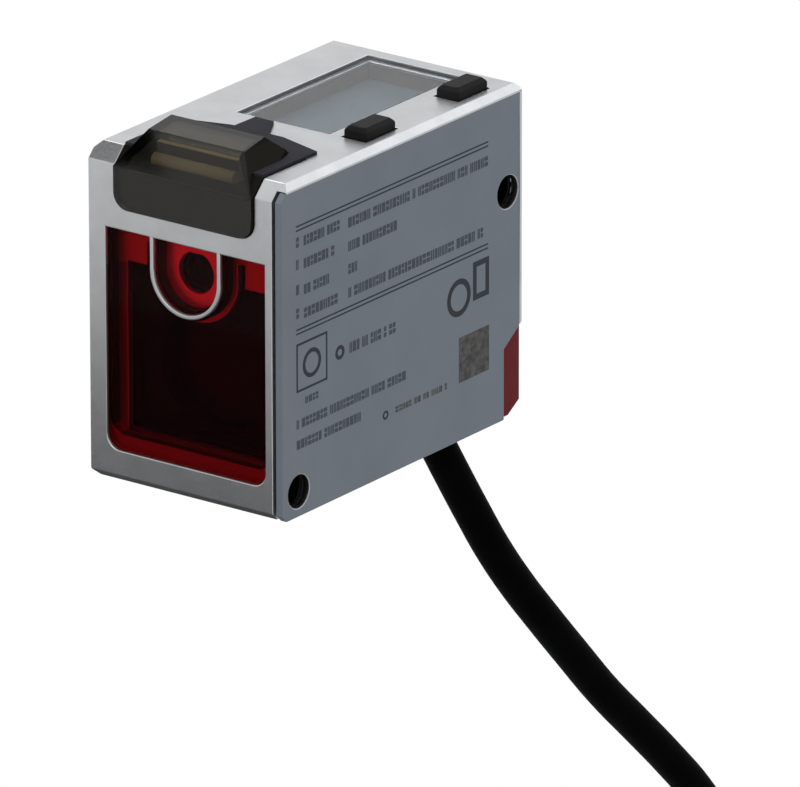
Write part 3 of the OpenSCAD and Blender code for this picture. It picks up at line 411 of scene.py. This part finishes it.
def cable_materials():
    surface("cable_pvc", (0.0008, 0.0009, 0.0011), (0.0015, 0.0016, 0.0019),
            rough=(0.4, 0.55), grain=(0.5, 0.03), level=0.004, drift_mm=4.0)
    for colour, (dark, light) in LEADS.items():
        surface(f"lead_{colour}_pvc", dark, light, rough=(0.4, 0.5), grain=(0.3, 0.004))


def inks():
    ink = {"rough": (0.5, 0.6), "grain": (0.15, 0.002), "level": 0.2}
    surface("print_ink", (0.013, 0.017, 0.024), (0.021, 0.026, 0.035), **ink)
    surface("row_ink", (0.036, 0.044, 0.057), (0.062, 0.074, 0.092), drift_mm=0.3, **ink)
    surface("field_ink", (0.03, 0.031, 0.03), (0.09, 0.092, 0.088), drift_mm=0.9, **ink)


for make_material in (cast_metal, cover_paint, smoky_plastic, clear_materials, rubbers_and_plastics,
                      board_materials, plated_and_turned_metals, cable_materials, inks):
    make_material()

# Width of the softened edges of the CAD nodes, in mm
EDGES = {"housing": 0.15, "side_cover": 0.12, "indicator_cap": 0.4, "front_button": 0.3, "rear_button": 0.3,
         "display_window": 0.3, "receiver_window": 0.05, "emitter_window": 0.05, "optical_block": 0.12,
         "cable_block": 0.15, "strain_relief": 0.12, "plug_body": 0.15, "plug_coupling": 0.05,
         "plug_insert": 0.08, "board_connector": 0.1, "processor": 0.08, "front_button_seal": 0.1,
         "rear_button_seal": 0.1, "cover_gasket": 0.08, "cap_gasket": 0.08, "display_carrier": 0.06}
EDGE_ANGLE = math.radians(28)
EDGE_SEGMENTS = 2
WELD_MM = 0.0005


def soften(piece, width):
    """Rounds the sharp edges, the housing's at full width beside its smallest faces too."""
    weld = piece.modifiers.new("weld", "WELD")
    weld.merge_threshold = WELD_MM * MM
    bevel = piece.modifiers.new("soft_edges", "BEVEL")
    bevel.width = width * MM
    bevel.segments = EDGE_SEGMENTS
    bevel.limit_method = "ANGLE"
    bevel.angle_limit = EDGE_ANGLE
    bevel.harden_normals = True
    bevel.use_clamp_overlap = piece.name != "housing"


# The emitter's window is a lighter red than the receiver's
OWN_MATERIALS = {"emitter_window": "emitter_filter"}


def dress_nodes():
    """Gives every CAD node the material of its slot, or its own one, and softens its edges."""
    slots = {part["node"]: part["material_slot"] for part in frame["record"]["subparts"]}
    for name, piece in NODES.items():
        piece.data.materials.clear()
        piece.data.materials.append(MATERIALS[OWN_MATERIALS.get(name, slots[name])])
        if name in EDGES:
            soften(piece, EDGES[name])


def make_piece(name, shape, slot, *materials):
    """Piece on the case's body, from a bmesh, which is freed."""
    mesh = bpy.data.meshes.new(name)
    shape.to_mesh(mesh)
    shape.free()
    for material in materials:
        mesh.materials.append(MATERIALS[material])
    piece = add_object(name, mesh)
    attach(piece, "case")
    return piece


# Print on the side cover: rules, rings, boxes, a field, and rows of short bars. The ink stands INK_T proud
INK_T = 0.015
RULE_W = 0.2
RULE_Y = (3.0, 43.2)
RULES_Z = (38.2, 37.65, 24.65, 24.1)
# Rows of bars as first y, last y, middle z and height
BAR_ROWS = ((3.0, 3.6, 36.1, 1.3), (4.6, 12.2, 36.0, 1.3), (13.8, 43.2, 35.7, 1.3),
            (3.0, 3.6, 33.2, 1.3), (4.6, 11.1, 33.0, 1.3), (13.8, 24.7, 32.6, 1.3),
            (3.0, 3.6, 29.9, 1.3), (4.6, 9.8, 29.6, 1.3), (13.8, 15.6, 29.6, 1.3),
            (3.0, 3.6, 26.8, 1.3), (4.6, 11.6, 26.5, 1.3), (13.8, 42.2, 26.5, 1.3),
            (4.8, 7.9, 15.0, 0.9), (14.0, 23.6, 19.2, 1.4), (3.0, 25.8, 12.2, 1.2), (3.0, 17.0, 9.5, 1.2))
FINE_ROW = (23.6, 34.4, 8.2, 0.8)
MIN_MARK = 0.3
MARK_W = (0.45, 0.75)
# Six small gaps to each wide one
MARK_GAPS = (0.16,) * 6 + (0.6,)
# Shapes of a mark, as bars from first to last part of its width and of its height
MARKS = (((0, 0, 1, 1),),
         ((0, 0, 1, 0.43), (0, 0.57, 1, 1)),
         ((0, 0, 0.4, 1), (0.6, 0, 1, 1)))
# Boxes as first y and z and last y and z, and the width of their lines
FRAME_BOX = (3.0, 16.4, 9.4, 22.8)
FRAME_LINE = 0.3
SQUARE_BOX = (40.0, 17.9, 43.4, 23.0)
SQUARE_LINE = 0.75
FIELD_BOX = (37.0, 7.8, 43.4, 13.8)
# Rings as y and z of the middle, outer radius and width of the line
RINGS = ((6.2, 19.6, 1.9, 0.55), (12.0, 19.2, 0.95, 0.5), (21.5, 8.1, 0.6, 0.3), (37.0, 19.2, 2.5, 0.75))
RING_STEPS = 32


def plate(shape, outline):
    """Thin raised plate of ink on the side cover, from an outline of y and z."""
    low = [shape.verts.new(at(COVER_X - INK_T, y, z)) for y, z in outline]
    top = [shape.verts.new(at(COVER_X + INK_T, y, z)) for y, z in outline]
    shape.faces.new(top)
    shape.faces.new(low[::-1])
    for i in range(len(outline)):
        j = (i + 1) % len(outline)
        shape.faces.new((low[i], low[j], top[j], top[i]))


def bar(shape, y0, z0, y1, z1):
    plate(shape, ((y0, z0), (y1, z0), (y1, z1), (y0, z1)))


def bar_row(shape, y0, y1, z, height, seed):
    """Row of small marks from y0 to y1 about the height z, in groups."""
    pick = random.Random(seed)
    foot = z - height / 2
    y = y0
    while y < y1 - MIN_MARK:
        width = min(pick.uniform(*MARK_W), y1 - y)
        for a0, b0, a1, b1 in pick.choice(MARKS):
            bar(shape, y + a0 * width, foot + b0 * height, y + a1 * width, foot + b1 * height)
        y += width + pick.choice(MARK_GAPS)


def box_line(shape, box, line):
    y0, z0, y1, z1 = box
    bar(shape, y0, z0, y1, z0 + line)
    bar(shape, y0, z1 - line, y1, z1)
    bar(shape, y0, z0 + line, y0 + line, z1 - line)
    bar(shape, y1 - line, z0 + line, y1, z1 - line)


def ring(shape, y, z, r, line):
    for i in range(RING_STEPS):
        a = math.tau * i / RING_STEPS
        b = math.tau * (i + 1) / RING_STEPS
        plate(shape, [(y + k * math.cos(t), z + k * math.sin(t))
                      for k, t in ((r - line, a), (r, a), (r, b), (r - line, b))])


def make_print():
    lines = bmesh.new()
    for z in RULES_Z:
        bar(lines, RULE_Y[0], z - RULE_W / 2, RULE_Y[1], z + RULE_W / 2)
    box_line(lines, FRAME_BOX, FRAME_LINE)
    box_line(lines, SQUARE_BOX, SQUARE_LINE)
    for place in RINGS:
        ring(lines, *place)
    make_piece("side_print_lines", lines, "cover_paint", "print_ink")
    rows = bmesh.new()
    for seed, row in enumerate(BAR_ROWS):
        bar_row(rows, *row, seed)
    make_piece("side_print_rows", rows, "cover_paint", "row_ink")
    fields = bmesh.new()
    bar(fields, *FIELD_BOX)
    bar_row(fields, *FINE_ROW, len(BAR_ROWS))
    make_piece("side_print_fields", fields, "cover_paint", "field_ink")


# Light guide under the cap: outline of its block as y and z, the corner at which the block's milky front
# edge starts, and the rounded bar along the front as its middle, its radius and the ends of its arc
GUIDE_HALF = 6.3
GUIDE_BLOCK = ((3.0, 42.05), (7.0, 42.05), (7.0, 45.4), (3.7, 45.1), (3.0, 44.95), (3.15, 43.6))
GUIDE_EDGE = GUIDE_BLOCK[3]
GUIDE_BAR = (2.6, 42.85)
GUIDE_BAR_R = 0.8
GUIDE_ARC = (math.radians(50), math.radians(300))
GUIDE_STEPS = 16


def guide_bar_point(share):
    """Point of the bar's outline, from 0 at the first end of its arc to 1 at the last one."""
    first, last = GUIDE_ARC
    angle = first + (last - first) * share
    return GUIDE_BAR[0] + GUIDE_BAR_R * math.cos(angle), GUIDE_BAR[1] + GUIDE_BAR_R * math.sin(angle)


def make_light_guide():
    """Light guide with a milky rounded bar and a milky front edge on top, masked elsewhere."""
    outline = [*(guide_bar_point(i / GUIDE_STEPS) for i in range(GUIDE_STEPS + 1)), *GUIDE_BLOCK]
    guide = bmesh.new()
    left = [guide.verts.new(at(-GUIDE_HALF, y, z)) for y, z in outline]
    right = [guide.verts.new(at(GUIDE_HALF, y, z)) for y, z in outline]
    ends = [guide.faces.new(left), guide.faces.new(right[::-1])]
    bmesh.ops.triangulate(guide, faces=ends)
    for i, corner in enumerate(outline):
        j = (i + 1) % len(outline)
        face = guide.faces.new((left[j], left[i], right[i], right[j]))
        face.smooth = i < GUIDE_STEPS
        face.material_index = 0 if face.smooth or corner == GUIDE_EDGE else 1
    bmesh.ops.recalc_face_normals(guide, faces=guide.faces)
    piece = make_piece("light_guide", guide, "milky_plastic", "milky_plastic", "guide_mask")
    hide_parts("indicator_light_guide")


# Flange round the cap: behind NOSE_FROM_Y lies the end of its tongue, whose corners come to NOSE_X and NOSE_Y
NOSE_FROM_Y = 19.0
NOSE_X = (-3.5, -0.6)
NOSE_Y = 19.3


def make_flange():
    """Rubber flange round the cap, whose tongue narrows towards the display."""
    flange = bmesh.new()
    flange.from_mesh(NODES["cap_gasket"].data)
    start = at(sum(NOSE_X) / 2, NOSE_FROM_Y, 0)
    for corner in flange.verts:
        if corner.co.y > start.y:
            side = int(corner.co.x > start.x)
            corner.co.xy = at(NOSE_X[side], NOSE_Y, 0).xy
    piece = make_piece("cap_flange", flange, "flange_rubber", "flange_rubber")
    soften(piece, EDGES["cap_gasket"])
    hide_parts("cap_gasket")


# Cable: the same route as in the CAD source, as y and z in the case's coordinates
CABLE_D = 4.8
ROUTE = [(43.2, 6.2), (47.3, 0), (50.4, -4.7), (53.4, -9.3), (56.1, -13.4), (60.2, -19.5), (64.6, -25.8),
         (69.8, -32.3), (75.9, -39.1), (82.4, -46.1), (89.2, -53.3), (97.2, -60.9), (103.8, -67.2),
         (110.4, -74), (117, -82.6), (122.6, -92.6), (126.6, -104), (128.6, -116), (129, -128),
         (129, -139), (129, -150), (129, -161)]
# Resolution of the cable's curve from one point of its route to the next, and of its round section
STEPS_ALONG = 5
STEPS_ROUND = 8


def make_cable():
    curve = bpy.data.curves.new("cable_jacket", "CURVE")
    curve.dimensions = "3D"
    curve.resolution_u = STEPS_ALONG
    curve.bevel_depth = CABLE_D / 2 * MM
    curve.bevel_resolution = STEPS_ROUND
    curve.use_fill_caps = True
    curve.materials.append(MATERIALS["cable_pvc"])
    spline = curve.splines.new("BEZIER")
    spline.bezier_points.add(len(ROUTE) - 1)
    for point, (y, z) in zip(spline.bezier_points, ROUTE):
        point.co = at(0, y, z)
        point.handle_left_type = "AUTO"
        point.handle_right_type = "AUTO"
    cable = add_object("cable_jacket", curve)
    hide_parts("cable")
    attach(cable, "case")


make_camera()
make_cable()
dress_nodes()
make_print()
make_light_guide()
make_flange()

# Stage and light, in metres where nothing else is said
FLOOR_DROP = 0.002
FLOOR_SIZE = 6.0
FLOOR_COLOUR = (0.8, 0.8, 0.8)
FLOOR_ROUGH = 0.9
WHITE = (1, 1, 1, 1)
# Dark cards as lowest x and y, highest x and y, and height, in the case's coordinates in mm
CARDS = {"foot_card": (-80, -78, 25, 20, -12), "brow_card": (-31, -13, -15, 3, 54.5)}
SKY_STRENGTH = 0.7
# Place that the lamps point at, in the case's coordinates in mm
LAMP_AIM = (0, 25, 22)
# Lamps as place, size and power in watts
LAMPS = {"key": ((0.3, 0.86, 0.72), 1.2, 3.5), "rim": ((-0.32, 0.11, 0.49), 0.26, 0.8),
         "front_fill": ((0.05, -0.28, 0.2), 0.12, 0.13)}


def white_to_camera(tree, white_kind, shader, out):
    """Shows plain white to camera, mirror and refracted rays, and the given shader to all others."""
    path = tree.nodes.new("ShaderNodeLightPath").outputs
    white = tree.nodes.new(white_kind)
    white.inputs["Color"].default_value = WHITE
    white.inputs["Strength"].default_value = 1.0
    seen = number(tree, "MAXIMUM", path["Is Camera Ray"], path["Is Transmission Ray"])
    mix = tree.nodes.new("ShaderNodeMixShader")
    tree.links.new(number(tree, "MAXIMUM", seen, path["Is Glossy Ray"]), mix.inputs["Fac"])
    tree.links.new(shader.outputs[0], mix.inputs[1])
    tree.links.new(white.outputs[0], mix.inputs[2])
    tree.links.new(mix.outputs[0], tree.nodes[out].inputs["Surface"])


def staged_sheet(name, low, high, material):
    """Flat rectangle between two corners of the same height, for the stage alone."""
    mesh = bpy.data.meshes.new(name)
    corners = [low, (high.x, low.y, low.z), high, (low.x, high.y, low.z)]
    mesh.from_pydata(corners, [], [(0, 1, 2, 3)])
    mesh.materials.append(MATERIALS[material])
    sheet = add_object(name, mesh)
    return sheet


def make_floor():
    tree, shader = new_material("floor")
    shader.inputs["Base Color"].default_value = (*FLOOR_COLOUR, 1)
    shader.inputs["Roughness"].default_value = FLOOR_ROUGH
    white_to_camera(tree, "ShaderNodeEmission", shader, "Material Output")
    half = FLOOR_SIZE / 2
    z = CAD_BOX[0].z - FLOOR_DROP
    staged_sheet("floor", Vector((-half, -half, z)), Vector((half, half, z)), "floor")


def make_world():
    world = bpy.data.worlds.new("studio")
    bpy.context.scene.world = world
    world.use_nodes = True
    sky = world.node_tree.nodes["Background"]
    sky.inputs["Color"].default_value = WHITE
    sky.inputs["Strength"].default_value = SKY_STRENGTH
    white_to_camera(world.node_tree, "ShaderNodeBackground", sky, "World Output")


def make_cards():
    """Dark cards that only mirror rays see: they darken the foot of the front and the brow beside the cap."""
    surface("card_black", (0.01, 0.01, 0.01), (0.02, 0.02, 0.02),
            rough=(0.8, 0.9), grain=(1.0, 0.01), level=0.0)
    for name, (x0, y0, x1, y1, z) in CARDS.items():
        card = staged_sheet(name, at(x0, y0, z), at(x1, y1, z), "card_black")
        card.visible_camera = False
        card.visible_diffuse = False
        card.visible_transmission = False
        card.visible_shadow = False


def make_lamps():
    for name, (place, size, watts) in LAMPS.items():
        lamp = bpy.data.lights.new(name, "AREA")
        lamp.shape = "SQUARE"
        lamp.size = size
        lamp.energy = watts
        holder = add_object(name, lamp)
        holder.location = place
        holder.rotation_euler = (at(*LAMP_AIM) - Vector(place)).to_track_quat("-Z", "Y").to_euler()


make_floor()
make_world()
make_cards()
make_lamps()
bpy.context.scene.view_settings.view_transform = "Standard"
